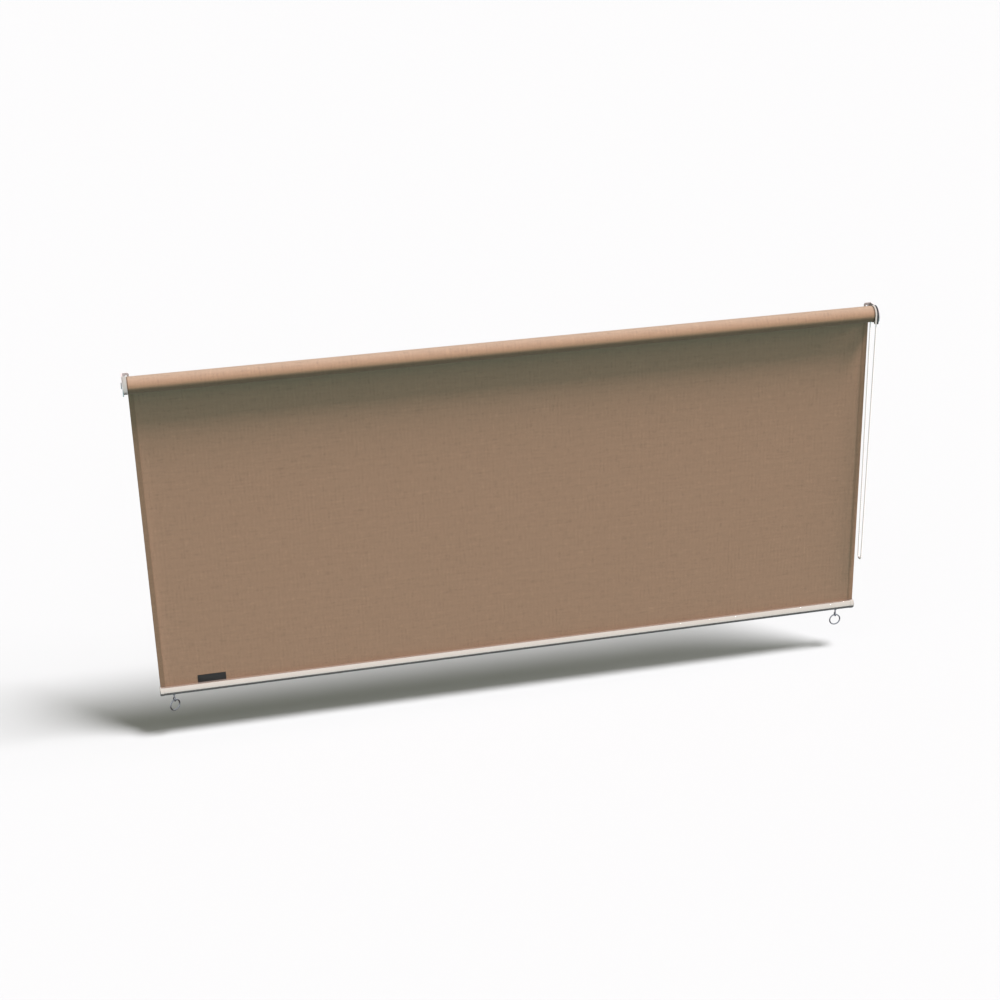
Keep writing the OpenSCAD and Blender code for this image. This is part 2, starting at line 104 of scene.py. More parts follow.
class ClothSettings(bpy.types.PropertyGroup):
    """Sizes and colours of the cloth, its seams and its tag."""

    warp_color: FloatVectorProperty(
        name="Warp", description="Colour of the upright yarns", subtype="COLOR",
        default=srgb(158, 131, 109), min=0, max=1)
    weft_color: FloatVectorProperty(
        name="Weft", description="Colour of the level yarns", subtype="COLOR",
        default=srgb(149, 122, 101), min=0, max=1)
    # Painted shade: the dips between the yarns are drawn in this colour
    gap_shade_color: FloatVectorProperty(
        name="Gaps", description="Colour between the yarns", subtype="COLOR",
        default=srgb(92, 74, 60), min=0, max=1)
    # Painted light on the roll: lighter on top, a front tone, and painted shade under it
    painted_top_light: FloatVectorProperty(
        name="Painted top light", description="Tone on top of the roll, which the sun reaches most", subtype="COLOR",
        default=(0.87, 1.19, 1.37), min=0, max=2)
    painted_front_tone: FloatVectorProperty(
        name="Painted front tone", description="Tone on the roll's front", subtype="COLOR",
        default=(1.06, 1.05, 0.98), min=0, max=2)
    painted_under_shade: FloatVectorProperty(
        name="Painted under shade", description="Tone under the roll", subtype="COLOR",
        default=(0.60, 0.54, 0.51), min=0, max=2)
    # Painted shade: a dark band at each end of the roll stands for the shadow in the gap to the end covers
    painted_end_shade: FloatVectorProperty(
        name="Painted end shade", description="Tone of the sealed edges at the roll's ends", subtype="COLOR",
        default=(0.50, 0.46, 0.43), min=0, max=1)
    end_shade_width: FloatProperty(
        name="End shade width", description="Width of the sealed edges", unit="LENGTH",
        default=3 * MM, min=1 * MM, max=8 * MM)
    hem_tone: FloatVectorProperty(
        name="Hem tone", description="Tone of the two layers of a side hem", subtype="COLOR",
        default=(0.84, 0.83, 0.80), min=0, max=1)
    thread_color: FloatVectorProperty(
        name="Thread", description="Colour of the sewing thread", subtype="COLOR",
        default=srgb(128, 106, 88), min=0, max=1)
    tag_color: FloatVectorProperty(
        name="Tag", description="Colour of the bare tag", subtype="COLOR",
        default=srgb(11, 12, 12), min=0, max=1)
    thickness: FloatProperty(
        name="Thickness", description="Thickness of one layer of cloth", unit="LENGTH",
        default=0.46 * MM, min=0.2 * MM, max=0.5 * MM)
    yarn_pitch: FloatProperty(
        name="Yarn pitch", description="Distance from yarn to yarn", unit="LENGTH",
        default=1.1 * MM, min=0.4 * MM, max=3 * MM)
    rib_pitch: FloatVectorProperty(
        name="Rib pitch", description="Distance between the paler upright yarns, and between the level ones",
        unit="LENGTH", size=2, default=(10.62 * MM, 24.2 * MM), min=2 * MM, max=100 * MM)
    hem_width: FloatProperty(
        name="Hem width", description="Width of the folded side hems", unit="LENGTH",
        default=14 * MM, min=8 * MM, max=30 * MM)
    hem_end: FloatProperty(
        name="Hem end", description="Height of a hem's lower end over the bar's end caps", unit="LENGTH",
        default=1 * MM, min=0.5 * MM, max=30 * MM)
    seam_inset: FloatProperty(
        name="Seam inset", description="Distance from a hem's inner edge to its seam", unit="LENGTH",
        default=3 * MM, min=1 * MM, max=8 * MM)
    stitch_pitch: FloatProperty(
        name="Stitch pitch", description="Length of one stitch and its gap", unit="LENGTH",
        default=4.2 * MM, min=2 * MM, max=8 * MM)
    thread_size: FloatProperty(
        name="Thread size", description="Diameter of the sewing thread", unit="LENGTH",
        default=0.55 * MM, min=0.2 * MM, max=1 * MM)
    tag_size: FloatVectorProperty(
        name="Tag size", description="Width and height of the tag", unit="LENGTH", size=2,
        default=(76 * MM, 21.6 * MM), min=10 * MM, max=200 * MM)
    tag_inset: FloatProperty(
        name="Tag inset", description="Distance from the cloth's left edge to the tag", unit="LENGTH",
        default=101 * MM, min=20 * MM, max=900 * MM)


class HardwareSettings(bpy.types.PropertyGroup):
    """Colours of the fittings and the make of the chain."""

    steel_color: FloatVectorProperty(
        name="Bracket steel", description="Colour of the plated brackets", subtype="COLOR",
        default=srgb(190, 195, 197), min=0, max=1)
    cover_color: FloatVectorProperty(
        name="Cover steel", description="Colour of the pressed cover at the idle end", subtype="COLOR",
        default=srgb(198, 197, 192), min=0, max=1)
    chrome_color: FloatVectorProperty(
        name="Chrome wire", description="Colour of the eyes and rings", subtype="COLOR",
        default=srgb(160, 166, 174), min=0, max=1)
    aluminium_color: FloatVectorProperty(
        name="Bar aluminium", description="Colour of the bar and tube", subtype="COLOR",
        default=srgb(216, 211, 203), min=0, max=1)
    white_color: FloatVectorProperty(
        name="White plastic", description="Colour of the plugs and the chain wheel", subtype="COLOR",
        default=srgb(184, 182, 174), min=0, max=1)
    chain_color: FloatVectorProperty(
        name="Chain plastic", description="Colour of the bead chain", subtype="COLOR",
        default=srgb(222, 222, 219), min=0, max=1)
    grey_color: FloatVectorProperty(
        name="Grey plastic", description="Colour of the connector, spindle and bush", subtype="COLOR",
        default=srgb(146, 147, 144), min=0, max=1)
    dark_color: FloatVectorProperty(
        name="Dark plastic", description="Colour of the chain guard", subtype="COLOR",
        default=srgb(34, 39, 44), min=0, max=1)
    bead_pitch: FloatProperty(
        name="Bead pitch", description="Distance from bead to bead along the chain", unit="LENGTH",
        default=6 * MM, min=5 * MM, max=8 * MM)
    chain_bend: FloatProperty(
        name="Chain bend", description="Radius of the two bends at the chain's foot", unit="LENGTH",
        default=6 * MM, min=5 * MM, max=10 * MM)
    cord_size: FloatProperty(
        name="Cord", description="Diameter of the cord between the beads", unit="LENGTH",
        default=1.4 * MM, min=1 * MM, max=2 * MM)


class StageSettings(bpy.types.PropertyGroup):
    """The camera, the floor and the light."""

    eye: FloatVectorProperty(
        name="Eye", description="Place of the camera", subtype="TRANSLATION",
        default=(-1.0042, -4.4782, 1.5571))
    yaw: FloatProperty(
        name="Yaw", description="Turn of the camera to the right of straight ahead", subtype="ANGLE",
        default=math.radians(12.152))
    pitch: FloatProperty(
        name="Pitch", description="Tilt of the camera below the horizon", subtype="ANGLE",
        default=math.radians(23.527))
    roll: FloatProperty(
        name="Roll", description="Lean of the camera", subtype="ANGLE",
        default=math.radians(1.4914))
    lens: FloatProperty(
        name="Lens", description="Focal length in millimetres", default=66.571, min=20, max=200)
    floor_level: FloatProperty(
        name="Floor level", description="Height of the floor", unit="LENGTH", default=-1.0185)
    floor_color: FloatVectorProperty(
        name="Floor", description="Colour of the floor as it is seen", subtype="COLOR",
        default=(0.393, 0.494, 0.518), min=0, max=1)
    bounce_color: FloatVectorProperty(
        name="Floor bounce", description="Colour of the light that the floor throws back", subtype="COLOR",
        default=(0.201, 0.432, 0.46), min=0, max=1)
    key_direction: FloatVectorProperty(
        name="Key direction", description="Direction to the key light", subtype="XYZ",
        default=(0.45, -0.255, 1.0))
    key_angle: FloatProperty(
        name="Key size", description="Angle that the key light covers", subtype="ANGLE",
        default=math.radians(17.5))
    key_strength: FloatProperty(
        name="Key strength", description="Strength of the key light", default=6.83, min=0)
    key_color: FloatVectorProperty(
        name="Key colour", description="Colour of the key light", subtype="COLOR",
        default=(1.0, 0.785, 0.775), min=0, max=1)
    side_direction: FloatVectorProperty(
        name="Side direction", description="Direction to the weaker light from the right", subtype="XYZ",
        default=(3.0, -0.39, 1.0))
    side_angle: FloatProperty(
        name="Side size", description="Angle that the side light covers", subtype="ANGLE",
        default=math.radians(23))
    side_strength: FloatProperty(
        name="Side strength", description="Strength of the side light", default=2.65, min=0)
    front_color: FloatVectorProperty(
        name="Front fill", description="Colour and level of the soft light from the front", subtype="COLOR",
        default=(0.36, 0.30, 0.24), min=0, max=2)
    back_color: FloatVectorProperty(
        name="Back fill", description="Colour and level of the soft light from the back", subtype="COLOR",
        default=(0.26, 0.21, 0.15), min=0, max=2)


class Value:
    """A number on a shader socket. Arithmetic on it adds Math nodes."""

    def __init__(self, shader, socket):
        self.shader = shader
        self.socket = socket

    def math(self, operation, *others):
        return self.shader.math(operation, self, *others)

    def __add__(self, other):
        return self.math("ADD", other)

    def __sub__(self, other):
        return self.math("SUBTRACT", other)

    def __rsub__(self, other):
        return self.shader.math("SUBTRACT", other, self)

    def __mul__(self, other):
        return self.math("MULTIPLY", other)

    def __truediv__(self, other):
        return self.math("DIVIDE", other)

    def clamped(self):
        """The number kept between 0 and 1."""
        return self.shader.node("ShaderNodeClamp", None, {0: self})

    def ridges(self, pitch):
        """Round ridges side by side along the number: 1 on top of each and 0 between."""
        return (self * (math.pi / pitch)).math("SINE").math("ABSOLUTE")


class Shader:
    """Builds the nodes of one material or of the world."""

    def __init__(self, owner):
        owner.use_nodes = True
        self.owner = owner
        self.tree = owner.node_tree
        self.tree.nodes.clear()

    def node(self, kind, settings=None, inputs=None, output=0):
        """Adds a node: its settings first, then the values or links of its sockets."""
        made = self.tree.nodes.new(kind)
        for key, value in (settings or {}).items():
            if key == "stops":
                self.set_stops(made.color_ramp, value)
            else:
                setattr(made, key, value)
        for key, value in (inputs or {}).items():
            self.feed(made.inputs[key], value)
        return Value(self, made.outputs[output]) if made.outputs else None

    def feed(self, socket, value):
        if isinstance(value, Value):
            self.tree.links.new(value.socket, socket)
        elif socket.type == "RGBA":
            socket.default_value = (*value[:3], 1)
        else:
            socket.default_value = value

    @staticmethod
    def set_stops(ramp, stops):
        """Grey stops: each has a place and a level."""
        for element, (place, level) in zip(ramp.elements, (stops[0], stops[-1])):
            element.position = place
            element.color = (level, level, level, 1)
        for place, level in stops[1:-1]:
            ramp.elements.new(place).color = (level, level, level, 1)

    def math(self, operation, *operands):
        return self.node("ShaderNodeMath", {"operation": operation}, dict(enumerate(operands)))

    def mix(self, factor, first, second, blend="MIX"):
        settings = {"data_type": "RGBA", "blend_type": blend}
        return self.node("ShaderNodeMix", settings, {0: factor, 6: first, 7: second}, output=2)

    def place(self):
        """Coordinates on the object, in metres."""
        return self.node("ShaderNodeTexCoord", output=3)

    def uv(self):
        """Coordinates on the cloth, in metres."""
        return self.node("ShaderNodeTexCoord", output=2)

    def parts(self, vector):
        """The three numbers of a vector."""
        split = self.node("ShaderNodeSeparateXYZ", None, {0: vector}).socket.node
        return [Value(self, out) for out in split.outputs]

    def stretched(self, vector, scale):
        """The vector times a scale on each axis."""
        return self.node("ShaderNodeVectorMath", {"operation": "MULTIPLY"}, {0: vector, 1: scale})

    def noise(self, vector, scale=1.0, detail=2.0):
        return self.node("ShaderNodeTexNoise", None, {"Vector": vector, "Scale": scale, "Detail": detail})

    def ramp(self, factor, *stops):
        return self.node("ShaderNodeValToRGB", {"stops": stops}, {0: factor})

    def bump(self, height, distance, strength, normal=None):
        sockets = {"Height": height, "Distance": distance, "Strength": strength}
        if normal is not None:
            sockets["Normal"] = normal
        return self.node("ShaderNodeBump", None, sockets)

    def eased_edges(self, radius):
        """A normal that rounds sharp edges over a small radius."""
        return self.node("ShaderNodeBevel", {"samples": 4}, {"Radius": radius})

    def surface(self, **sockets):
        """Ends a material with one shader, its sockets written with _ for spaces."""
        inputs = {key.replace("_", " "): value for key, value in sockets.items()}
        shader = self.node("ShaderNodeBsdfPrincipled", None, inputs)
        self.node("ShaderNodeOutputMaterial", None, {"Surface": shader})
        return self.owner


def new_material(name):
    return Shader(bpy.data.materials.new(name))


def shade(color, share):
    """The colour made darker, or lighter where the share is over 1."""
    return [min(1.0, part * share) for part in color]


# Noise scales along and across a slub, and the tones from the darkest slub to the palest
SLUB_ALONG, SLUB_ACROSS = 30.0, 190.0
SLUB_TONES = (0.85, 0.85, 0.86), (1.075, 1.065, 1.055)
CHECK_TONES = (0.976, 0.976, 0.976), (1.024, 1.024, 1.024)
# Parts of the roll's height in which its painted light and shade change, below its axis and above
BELOW_AXIS, ABOVE_AXIS = 0.2, 0.5
EVEN_TONES = ((1.0, 1.0, 1.0),) * 3


def cloth_material(name, edge_width, edge_tone, painted_roll_tones=EVEN_TONES):
    """Plain-woven screen cloth: round yarns that pass over and under, slubs along them, dark gaps between as painted
    shade, and a faint check of paler yarns. Along its side edges it has a tone of its own: darker over the hems of
    the sheet, and a painted shade at the ends of the roll. On the roll it has painted light by height: painted shade
    below the axis, a painted front tone and painted light on top."""
    settings = bpy.context.scene.blind_cloth
    shader = new_material(name)
    uv = shader.uv()
    across, along, _ = shader.parts(uv)
    warp = across.ridges(settings.yarn_pitch)
    weft = along.ridges(settings.yarn_pitch)
    step = (across / settings.yarn_pitch).math("FLOOR") + (along / settings.yarn_pitch).math("FLOOR")
    over = (step / 2).math("FRACT") * 2
    height = warp * over + weft * (1 - over)
    yarn = shader.mix(over, settings.weft_color, settings.warp_color)
    # Painted shade: the dips between the yarns take the dark gap colour
    woven = shader.mix(shader.ramp(height, (0.0, 0.35), (0.5, 1.0)), settings.gap_shade_color, yarn)
    level_slubs = shader.noise(shader.stretched(uv, (SLUB_ALONG, SLUB_ACROSS, 0.0)), detail=1.0)
    upright_slubs = shader.noise(shader.stretched(uv, (SLUB_ACROSS, SLUB_ALONG, 0.0)), detail=1.0)
    slubs = shader.ramp(level_slubs * 0.5 + upright_slubs * 0.5, (0.33, 0.0), (0.44, 0.5), (0.58, 0.6), (0.68, 1.0))
    tone = shader.mix(slubs, *SLUB_TONES)
    upright_ribs, level_ribs = (
        (run * (math.tau / pitch)).math("SINE") for run, pitch in zip((across, along), settings.rib_pitch))
    check = shader.mix(upright_ribs * 0.25 + level_ribs * 0.25 + 0.5, *CHECK_TONES)
    tone = shader.mix(1.0, tone, check, "MULTIPLY")
    sideways, _, upright = shader.parts(shader.place())
    # Painted light by height on the roll: painted shade below the axis, a front tone, and lighter on top
    below, before, on_top = painted_roll_tones
    rise = (upright - ROLL.middle.z) / ROLL.size.z
    painted_light_tone = shader.mix((rise / BELOW_AXIS + 1).clamped(), below, before)
    painted_light_tone = shader.mix((rise / ABOVE_AXIS).clamped(), painted_light_tone, on_top)
    color = shader.mix(1.0, shader.mix(1.0, woven, tone, "MULTIPLY"), painted_light_tone, "MULTIPLY")
    # Darker along the side edges by edge_tone: over the hems on the sheet, and painted shade at the roll's ends
    edge = ((sideways.math("ABSOLUTE") - (SHEET.high.x - edge_width)) / MM).clamped()
    color = shader.mix(edge, color, shader.mix(1.0, color, edge_tone, "MULTIPLY"))
    wide = shader.noise(uv, scale=7.0, detail=3.0)
    return shader.surface(
        Base_Color=color,
        Roughness=wide * 0.12 + 0.74,
        Specular_IOR_Level=0.3,
        Normal=shader.bump(height + slubs * 0.3, 0.25 * MM, 0.35),
    )


TWIST_SCALE = 900.0


def thread_material():
    """Twisted sewing thread."""
    color = bpy.context.scene.blind_cloth.thread_color
    shader = new_material("sewing_thread")
    sockets = {"Vector": shader.place(), "Scale": TWIST_SCALE}
    twist = shader.node("ShaderNodeTexWave", {"bands_direction": "DIAGONAL"}, sockets)
    # Painted shade: the grooves of the twist are drawn darker
    return shader.surface(
        Base_Color=shader.mix(twist, shade(color, 0.72), color),
        Roughness=0.6,
        Normal=shader.bump(twist, 0.1 * MM, 0.4),
    )


LEVEL_RIB, UPRIGHT_RIB = 0.5 * MM, 0.35 * MM


def tag_material():
    """Black satin ribbon with a fine rib."""
    color = bpy.context.scene.blind_cloth.tag_color
    shader = new_material("tag_ribbon")
    across, _, upright = shader.parts(shader.place())
    rib, fine = upright.ridges(LEVEL_RIB), across.ridges(UPRIGHT_RIB)
    cloudy = shader.noise(shader.place(), scale=180.0, detail=3.0)
    # Painted sheen: the tops of the ribs are drawn lighter, with random clouding
    return shader.surface(
        Base_Color=shader.mix(rib * 0.4 + cloudy * 0.4, color, shade(color, 1.7)),
        Roughness=cloudy * 0.2 + 0.4,
        Normal=shader.bump(rib + fine * 0.5, 0.12 * MM, 0.4),
    )


EASED_METAL, EASED_PLASTIC = 0.35 * MM, 0.3 * MM


def metal_material(name, color, roughness, grain, grain_scale, metallic=1.0):
    """Metal with a drawn grain and faint cloudy stains; an anodised or plated face is not wholly metallic."""
    shader = new_material(name)
    place = shader.place()
    lines = shader.noise(shader.stretched(place, grain_scale), detail=3.0)
    clouds = shader.noise(place, scale=38.0, detail=4.0)
    return shader.surface(
        Base_Color=shader.mix(clouds * 0.6 + lines * 0.4, shade(color, 0.88), color),
        Metallic=metallic,
        Roughness=lines * grain + clouds * 0.06 + roughness,
        Normal=shader.bump(lines, 0.02 * MM, 0.3, shader.eased_edges(EASED_METAL)),
    )


def plastic_material(name, color, roughness):
    """Moulded plastic with a fine orange peel and slight clouding."""
    shader = new_material(name)
    place = shader.place()
    peel = shader.noise(place, scale=1400.0, detail=2.0)
    clouds = shader.noise(place, scale=60.0, detail=3.0)
    return shader.surface(
        Base_Color=shader.mix(clouds, shade(color, 0.92), color),
        Roughness=clouds * 0.1 + roughness,
        Normal=shader.bump(peel, 0.02 * MM, 0.3, shader.eased_edges(EASED_PLASTIC)),
    )


def finish_nodes(material, *names):
    """Gives CAD nodes a finish."""
    for name in names:
        mesh = frame["nodes"][name].data
        mesh.materials.clear()
        mesh.materials.append(material)


def new_piece(name, vertices, faces, body, material, uvs=None, sharp=40):
    """A mesh that moves with a CAD body. uvs has one pair in metres for each vertex, and edges over the angle sharp,
    in degrees, stay crisp."""
    mesh = bpy.data.meshes.new(name)
    mesh.from_pydata([tuple(v) for v in vertices], [], faces)
    edit = bmesh.new()
    edit.from_mesh(mesh)
    bmesh.ops.recalc_face_normals(edit, faces=edit.faces)
    edit.to_mesh(mesh)
    edit.free()
    if uvs:
        layer = mesh.uv_layers.new(name="cloth")
        for loop in mesh.loops:
            layer.data[loop.index].uv = uvs[loop.vertex_index]
    mesh.polygons.foreach_set("use_smooth", [True] * len(mesh.polygons))
    mesh.set_sharp_from_angle(angle=math.radians(sharp))
    mesh.materials.append(material)
    piece = bpy.data.objects.new(name, mesh)
    bpy.context.scene.collection.objects.link(piece)
    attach(piece, body)
    return piece


def offsets(path, thickness):
    """The two sides of a strip whose middle follows path; thickness is one number or one for each point."""
    sizes = thickness if isinstance(thickness, list) else [thickness] * len(path)
    left, right = [], []
    for i, (point, size) in enumerate(zip(path, sizes)):
        ahead = Vector(path[min(i + 1, len(path) - 1)]) - Vector(path[max(i - 1, 0)])
        side = Vector((-ahead.y, ahead.x)).normalized() * size / 2
        left.append(Vector(point) + side)
        right.append(Vector(point) - side)
    return left, right


def strip(path, thickness, stations, place):
    """A strip of cloth: its section follows path and runs through the stations. place turns a point of the section
    and a station into a point in space. Gives the vertices, the faces, and the length along path for each vertex."""
    left, right = offsets(path, thickness)
    count = len(path)
    run = [0.0]
    for a, b in zip(path, path[1:]):
        run.append(run[-1] + math.dist(a, b))
    vertices, lengths, faces = [], [], []
    for station in stations:
        vertices += [place(p, station) for p in left + right]
        lengths += [(r, station) for r in run + run]
    ring = 2 * count
    for row in range(len(stations) - 1):
        a, b = row * ring, (row + 1) * ring
        for side in (0, count):
            for i in range(side, side + count - 1):
                faces.append((a + i, a + i + 1, b + i + 1, b + i))
        for i in (0, count - 1):
            faces.append((a + i, a + count + i, b + count + i, b + i))
    for base in (0, (len(stations) - 1) * ring):
        for i in range(count - 1):
            faces.append((base + i, base + i + 1, base + count + i + 1, base + count + i))
    return vertices, faces, lengths


def evenly(start, end, count):
    """count + 1 numbers from start to end."""
    return [start + (end - start) * i / count for i in range(count + 1)]


def arc(centre, radius, start, end, count):
    """Points on a circle from the start angle to the end angle."""
    return [(centre[0] + radius * math.cos(a), centre[1] + radius * math.sin(a)) for a in evenly(start, end, count)]


class Chain:
    """The chain's line on one side, from the wheel's top to the connector's middle, in the plane of the wheel."""

    def __init__(self, hardware):
        self.x = CHAIN.middle.x
        self.bead_r = CHAIN.size.x / 2
        self.wheel_r = CHAIN.high.z - AXIS.z - self.bead_r
        self.bend_r = hardware.chain_bend
        self.pitch = hardware.bead_pitch
        self.half_connector = CONNECTOR.size.y / 2
        self.foot = CONNECTOR.middle.z - AXIS.z
        self.bend_at = (self.half_connector, self.foot + self.bend_r)
        far = math.hypot(*self.bend_at)
        narrowing = self.wheel_r - self.bend_r
        self.lean = math.acos(narrowing / far) - math.atan2(-self.bend_at[1], self.bend_at[0])
        self.strand = math.sqrt(far * far - narrowing * narrowing)
        self.top = (math.pi / 2 - self.lean) * self.wheel_r
        self.low = (math.pi / 2 + self.lean) * self.bend_r
        self.half = self.top + self.strand + self.low + self.half_connector

    def at(self, run):
        """The point and direction at that length from the wheel's top: to the wall and up."""
        if run < self.top:
            centre, radius, angle, extra = (0, 0), self.wheel_r, math.pi / 2 - run / self.wheel_r, 0
        elif run < self.top + self.strand:
            centre, radius, angle, extra = (0, 0), self.wheel_r, self.lean, run - self.top
        else:
            bent = min(run - self.top - self.strand, self.low)
            centre, radius, angle = self.bend_at, self.bend_r, self.lean - bent / self.bend_r
            extra = max(0, run - self.top - self.strand - self.low)
        out = Vector((math.cos(angle), math.sin(angle)))
        ahead = Vector((out.y, -out.x))
        return Vector(centre) + out * radius + ahead * extra, ahead

    def in_space(self, point, side):
        """side is 1 for the wall's side and -1 for the room's."""
        return Vector((self.x, AXIS.y + side * point.x, AXIS.z + point.y))

    def loop(self, step):
        """The closed line: down the wall's side, through the connector, up the other side and over the wheel."""
        down = evenly(self.top, self.half, math.ceil((self.half - self.top) / step))
        up = list(reversed(evenly(0, self.half, math.ceil(self.half / step))))[1:]
        over = evenly(0, self.top, math.ceil(self.top / step))[1:]
        sides = [(run, 1) for run in down] + [(run, -1) for run in up] + [(run, 1) for run in over]
        return [self.in_space(self.at(run)[0], side) for run, side in sides]


def ring_faces(rows, sides):
    """The faces of a closed shape that is made of rings of points, one ring for each row."""
    faces = [tuple(reversed(range(sides))), tuple(range((rows - 1) * sides, rows * sides))]
    for row in range(rows - 1):
        for i in range(sides):
            a, b = row * sides + i, row * sides + (i + 1) % sides
            faces.append((a, b, b + sides, a + sides))
    return faces


def lathe(profile, sides, matrix):
    """A closed turned shape: profile has (height, radius) pairs, and the first and last radius are small."""
    vertices = []
    for height, radius in profile:
        for i in range(sides):
            a = 2 * math.pi * i / sides
            vertices.append(matrix @ Vector((radius * math.cos(a), radius * math.sin(a), height)))
    return vertices, ring_faces(len(profile), sides)


def tube(line, radius, sides):
    """A round tube along a line, closed at its ends."""
    vertices = []
    for i, point in enumerate(line):
        ahead = (line[min(i + 1, len(line) - 1)] - line[max(i - 1, 0)]).normalized()
        turn = ahead.to_track_quat("Z", "X").to_matrix()
        for k in range(sides):
            a = 2 * math.pi * k / sides
            vertices.append(point + turn @ Vector((radius * math.cos(a), radius * math.sin(a), 0)))
    return vertices, ring_faces(len(line), sides)


class Mesh:
    """Gathers shapes into one list of vertices and faces."""

    def __init__(self):
        self.vertices, self.faces = [], []

    def add(self, shape):
        base = len(self.vertices)
        vertices, faces = shape
        self.vertices += vertices
        self.faces += [tuple(base + i for i in face) for face in faces]


# Where a stitch starts and how much of the pitch it takes; its rise and depth in thread sizes
STITCH_START, STITCH_SHARE = 0.12, 0.76
STITCH_RISE, STITCH_DEPTH = 0.55, 0.25
STITCH_STEPS, THREAD_SIDES = 6, 6
TO_FRONT = Vector((0, -1, 0))


def stitch_row(start, end, pitch, size):
    """A row of lock stitches from start to end, on a face that looks to the front: each dips in at both ends."""
    row = Mesh()
    along = (end - start).normalized()
    count = int((end - start).length / pitch)
    for i in range(count):
        first = start + along * pitch * (i + STITCH_START)
        line = []
        for share in evenly(0, 1, STITCH_STEPS):
            rise = math.sin(math.pi * share) * size * STITCH_RISE - size * STITCH_DEPTH
            line.append(first + along * pitch * STITCH_SHARE * share + TO_FRONT * rise)
        row.add(tube(line, size / 2, THREAD_SIDES))
    return row.vertices, row.faces


class BLIND_OT_camera(bpy.types.Operator):
    """Place the camera at the height and angle that the blind is seen from"""

    bl_idname = "blind.camera"
    bl_label = "Place the camera"

    SIGHT = 200.0

    def execute(self, context):
        stage = context.scene.blind_stage
        ahead = Vector((math.sin(stage.yaw) * math.cos(stage.pitch), math.cos(stage.yaw) * math.cos(stage.pitch),
                        -math.sin(stage.pitch)))
        level = Vector((math.cos(stage.yaw), -math.sin(stage.yaw), 0))
        down = ahead.cross(level)
        right = level * math.cos(stage.roll) + down * math.sin(stage.roll)
        lower = down * math.cos(stage.roll) - level * math.sin(stage.roll)
        data = bpy.data.cameras.new("camera")
        data.lens = stage.lens
        data.clip_end = self.SIGHT
        camera = bpy.data.objects.new("camera", data)
        turn = Matrix((right, -lower, -ahead)).transposed()
        camera.matrix_world = Matrix.Translation(stage.eye) @ turn.to_4x4()
        context.scene.collection.objects.link(camera)
        context.scene.camera = camera
        return {"FINISHED"}


class BLIND_OT_chain(bpy.types.Operator):
    """String the bead chain round its wheel and hang it"""

    bl_idname = "blind.chain"
    bl_label = "Hang the bead chain"

    STEPS_PER_BEAD, CORD_SIDES = 3, 8
    BEAD_STEPS, BEAD_SIDES = 10, 14
    # A neck's radius over the cord's, and its reach over the bead's radius
    NECK_SIZE, NECK_REACH = 1.35, 1.06

    def execute(self, context):
        hardware = context.scene.blind_hardware
        chain = Chain(hardware)
        line = chain.loop(chain.pitch / self.STEPS_PER_BEAD)
        made = Mesh()
        made.add(tube(line, hardware.cord_size / 2, self.CORD_SIDES))
        reach = chain.half - chain.half_connector - chain.bead_r
        count = int(reach / chain.pitch)
        for side, first in ((1, 0), (-1, 1)):
            for i in range(first, count + 1):
                made.add(self.bead(chain, i * chain.pitch, side, hardware.cord_size / 2))
        white = plastic_material("chain_plastic", hardware.chain_color, 0.3)
        piece = new_piece("chain_loop", made.vertices, made.faces, "wall_frame", white)
        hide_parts("bead_chain")
        grey = plastic_material("connector_plastic", hardware.grey_color, 0.25)
        finish_nodes(grey, "chain_connector")
        return {"FINISHED"}

    def bead(self, chain, run, side, cord_r):
        """A ball with short necks where the cord enters it."""
        point, ahead = chain.at(run)
        direction = Vector((0, side * ahead.x, ahead.y))
        turn = direction.to_track_quat("Z", "X").to_matrix().to_4x4()
        neck = cord_r * self.NECK_SIZE
        neck_at = chain.bead_r * self.NECK_REACH
        meet = math.asin(neck / chain.bead_r)
        ball = arc((0, 0), chain.bead_r, math.pi - meet, meet, self.BEAD_STEPS)
        profile = [(-neck_at, cord_r), (-neck_at, neck), *ball, (neck_at, neck), (neck_at, cord_r)]
        return lathe(profile, self.BEAD_SIDES, Matrix.Translation(chain.in_space(point, side)) @ turn)


